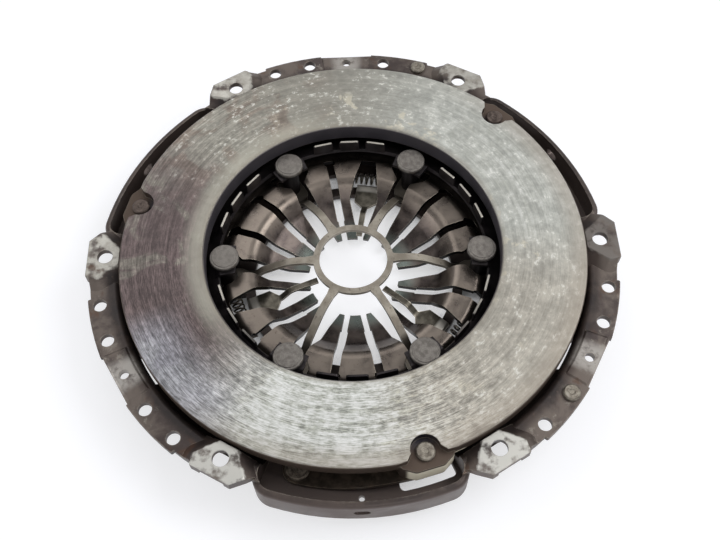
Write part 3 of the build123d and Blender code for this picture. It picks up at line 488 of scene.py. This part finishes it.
# --- Rivets ------------------------------------------------------------------
# Solid rivets with a dimple from the setting punch. The first two on the lugs went rusty
# brown, the third stayed bright.
lug_rivet_tones = (("#6C6059", "#483E39"), ("#675B54", "#463C37"), ("#A39C90", "#6A6258"))
for k, (light, dark) in enumerate(lug_rivet_tones, 1):
    dress([f"lug_rivet_{k}"], turned(f"lug_rivet_steel_{k}", f"lug_rivet_{k}", light, dark, 2.0))
for rivet, count, light, dark, ring_mm in (
    ("cover_rivet", 3, "#8A8074", "#4A4037", 2.2), ("balance_rivet", 2, "#A09A8E", "#6E665C", 1.6),
):
    for k in range(1, count + 1):
        steel = turned(f"{rivet}_steel_{k}", f"{rivet}_{k}", light, dark, ring_mm)
        dress([f"{rivet}_{k}"], steel)

# --- Leaf springs ------------------------------------------------------------
# Packs of three strips of hardened strip steel, black-brown from the tempering bath. One
# end is riveted to the cover and the other to a lug of the plate, so they bend as it moves.
strip, tree, shader, place = metal("tempered_strip_steel", 0.36, 0.85)
tone = blend_colours(tree, between(tree, grain(tree, place, 6, 5), 0.35, 0.65), "#3E3730", "#62574C")
tone = blend_colours(tree, worn_edges(tree, 0.4), tone, "#958A7C")
tree.links.new(tone, shader.inputs["Base Color"])

leaf_r, leaf_half_w, leaf_t, leaf_step, leaf_hole_r = 118.2, 7.2, 0.85, 0.9, 3.6
cover_end_z, lug_end_z = -17.3, -11.7
half_span, pack_angles = math.radians(15), (30, 150, 270)
rivet_reach = leaf_r * math.sin(half_span)
rise_reach = rivet_reach - leaf_half_w - 1.0


def strip_plan(rings, steps):
    """Points (along, across) and faces of a flat strip with a rivet hole at each end, before it
    is curved. Round each hole the points lie on rays: the share from the hole's circle out to
    the strip's outline, which is a half circle on the outer side and a half square on the inner
    side. Between the holes is a plain grid."""
    corner = np.linspace(-np.pi / 4, np.pi / 4, steps + 1)
    rest = np.linspace(np.pi / 4, 2 * np.pi - np.pi / 4, 3 * steps + 1)[1:-1]
    ray = np.concatenate([corner, rest])
    inner_side = np.cos(ray) > -1e-9
    square = np.maximum(np.abs(np.cos(ray)), np.abs(np.sin(ray)))
    edge = np.where(inner_side, leaf_half_w / np.maximum(square, 1e-9), leaf_half_w)
    share = np.linspace(0, 1, rings)[:, None]
    away = leaf_hole_r + share * (edge[None, :] - leaf_hole_r)
    end = np.stack([away * np.cos(ray), away * np.sin(ray)], axis=-1).reshape(-1, 2)
    count = len(ray)
    row, column = np.meshgrid(np.arange(rings - 1), np.arange(count), indexing="ij")
    here, beside = row * count + column, row * count + (column + 1) % count
    end_faces = np.stack([here, here + count, beside + count, beside], axis=-1).reshape(-1, 4)
    half = leaf_r * half_span
    left, right = end + (-half, 0.0), end * (-1.0, -1.0) + (half, 0.0)
    body_rows = 25
    along = np.linspace(-half + leaf_half_w, half - leaf_half_w, body_rows)[1:-1]
    across = leaf_half_w * np.tan(corner)
    grid = np.stack(np.meshgrid(along, across, indexing="ij"), axis=-1).reshape(-1, 2)
    size = rings * count
    wide = steps + 1
    first_row = np.arange(wide) + (rings - 1) * count
    last_row = (np.arange(wide) + (rings - 1) * count + size)[::-1]
    body = 2 * size + np.arange(len(grid)).reshape(-1, wide)
    rows = np.vstack([first_row, body, last_row])
    body_faces = np.stack(
        [rows[:-1, :-1], rows[1:, :-1], rows[1:, 1:], rows[:-1, 1:]], axis=-1,
    ).reshape(-1, 4)
    return np.vstack([left, right, grid]), np.vstack([end_faces, end_faces + size, body_faces])


def thick(top, faces, thickness):
    """Points and faces of a closed plate: the surface, the same one thickness lower and turned
    over, and a wall along each edge that belongs to one face only."""
    edges = np.concatenate([faces[:, [i, (i + 1) % 4]] for i in range(4)])
    _, index, uses = np.unique(np.sort(edges, axis=1), axis=0, return_index=True, return_counts=True)
    rim = edges[index[uses == 1]]
    walls = np.stack([rim[:, 1], rim[:, 0], rim[:, 0] + len(top), rim[:, 1] + len(top)], axis=-1)
    points = np.vstack([top, top - (0.0, 0.0, thickness)])
    return points, np.vstack([faces, faces[:, ::-1] + len(top), walls]).tolist()


plan, plan_faces = strip_plan(rings=4, steps=6)
for k, angle in enumerate(pack_angles, 1):
    for layer in (1, 2, 3):
        # The strip runs round the clutch axis: its length becomes an angle and its width a
        # radius. The height goes from the cover's end to the lug's along a smooth step.
        turn = math.radians(angle) + plan[:, 0] / leaf_r
        reach = leaf_r + plan[:, 1]
        rise = np.clip((plan[:, 0] / rise_reach + 1) / 2, 0, 1)
        level = (
            cover_end_z + (lug_end_z - cover_end_z) * rise * rise * (3 - 2 * rise)
            - leaf_step * (layer - 1)
        )
        top = np.stack([reach * np.cos(turn), reach * np.sin(turn), level], axis=-1)
        leaf = shell(f"leaf_strip_{k}_{layer}", *thick(top, plan_faces, leaf_t), strip)
        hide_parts(f"leaf_spring_{k}_{layer}")
        a = math.radians(angle)
        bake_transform(leaf)

# --- Stop tongues ------------------------------------------------------------
# Narrow strips of spring steel, bent into a clip over the rim of the cover's bore. A painted
# highlight makes them palest at that bend.
clip, tree, shader, place = metal("clip_steel_with_painted_highlight", 0.34, 0.85)
radius = height_and_radius(tree, place)[1]
tone = blend_colours(tree, between(tree, grain(tree, place, 5, 5), 0.35, 0.65), "#47433B", "#69645A")
# Painted highlight: the outer end, over the bend, is made pale.
tone = blend_colours(tree, between(tree, radius, 54.0, 56.0, 0.0, 0.9), tone, "#CBC6BC")
tone = blend_colours(tree, worn_edges(tree, 0.5), tone, "#B9B1A4")
tree.links.new(tone, shader.inputs["Base Color"])
dress([f"stop_tongue_{k}" for k in (1, 2, 3)], clip)

# --- Floor -------------------------------------------------------------------
# A matt pale table top. The camera and mirror-like reflections see it a good deal lighter,
# so that it reads as a white background and still takes a soft shadow.
floor_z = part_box("stud_1")[0][2]
half_table = 3.0
corners = [
    (x * half_table, y * half_table, floor_z) for x, y in ((-1, -1), (1, -1), (1, 1), (-1, 1))
]
floor_mesh = bpy.data.meshes.new("table_top")
floor_mesh.from_pydata(corners, [], [(0, 1, 2, 3)])
table_top = bpy.data.objects.new("table_top", floor_mesh)
bpy.context.scene.collection.objects.link(table_top)
white, tree, shader, _ = metal("matt_white_table", 0.9, 0.0)
shader.inputs["Base Color"].default_value = linear("#B6B7BC")
shader.inputs["Specular IOR Level"].default_value = 0.2
rays = add(tree, "LightPath").outputs
mirrored = combine(tree, rays["Is Glossy Ray"], rays["Is Transmission Ray"], "MAXIMUM")
seen = combine(tree, rays["Is Camera Ray"], mirrored, "MAXIMUM")
shader.inputs["Emission Color"].default_value = (1, 1, 1, 1)
# Where the part shuts out nearly all the sky, such as under the spring windows, it stays dark.
open_sky = add(tree, "AmbientOcclusion", {"Distance": 0.04}, samples=16).outputs["AO"]
glow = product(tree, between(tree, open_sky, 0.03, 0.2), 0.6)
tree.links.new(product(tree, seen, glow), shader.inputs["Emission Strength"])
floor_mesh.materials.append(white)

# --- Light -------------------------------------------------------------------
# A light tent: an even pale world and four soft boxes. The strongest stands high on the
# right, and weaker ones behind, in front and on the left.
world = bpy.data.worlds.new("light_tent")
bpy.context.scene.world = world
world.use_nodes = True
tree = world.node_tree
skyward = add(tree, "SeparateXYZ", {0: add(tree, "TexCoord").outputs["Generated"]}).outputs["Z"]
tree.nodes["Background"].inputs["Color"].default_value = linear("#DDDEE0")
tree.links.new(between(tree, skyward, 0.0, 0.8, 0.4, 0.72), tree.nodes["Background"].inputs["Strength"])


def soft_box(name, spot, size, watts, aim=(0, 0, 0)):
    """A square area lamp at spot, turned to aim."""
    lamp = bpy.data.lights.new(name, "AREA")
    lamp.size = size
    lamp.energy = watts
    holder = bpy.data.objects.new(name, lamp)
    holder.location = spot
    holder.rotation_euler = (Vector(aim) - Vector(spot)).to_track_quat("-Z", "Y").to_euler()
    bpy.context.scene.collection.objects.link(holder)


soft_box("right_soft_box", (0.85, 0.15, 1.0), 0.8, 8)
soft_box("back_soft_box", (-0.35, 0.9, 1.1), 0.7, 2.5)
soft_box("front_soft_box", (0.1, -1.0, 0.7), 0.6, 1.8)
soft_box("left_soft_box", (-1.1, -0.1, 0.45), 0.5, 2.2)

# --- Camera ------------------------------------------------------------------
# Looks down on the friction face from the front, with a focal length of 956 pixels in a
# picture 720 pixels wide.
picture_width, focal_pixels = 720, 955.6
tilt, roll, turn = math.radians(59.38), -0.0292, math.radians(-0.51)
aim_point, camera_distance = Vector((0.00345, -0.01395, 0)), 0.4981
forward = Vector((0, math.cos(tilt), -math.sin(tilt)))
side, up = Vector((1, 0, 0)), Vector((0, math.sin(tilt), math.cos(tilt)))
right = math.cos(roll) * side + math.sin(roll) * up
above = -math.sin(roll) * side + math.cos(roll) * up
axes = Matrix((right, above, -forward)).transposed().to_4x4()
lens = bpy.data.cameras.new("camera")
lens.lens = focal_pixels / picture_width * lens.sensor_width
lens.clip_start = 0.01
camera = bpy.data.objects.new("camera", lens)
eye = Matrix.Translation(aim_point - camera_distance * forward)
camera.matrix_world = Matrix.Rotation(turn, 4, "Z") @ eye @ axes
bpy.context.scene.collection.objects.link(camera)
bpy.context.scene.camera = camera
bpy.context.scene.view_settings.view_transform = "Standard"
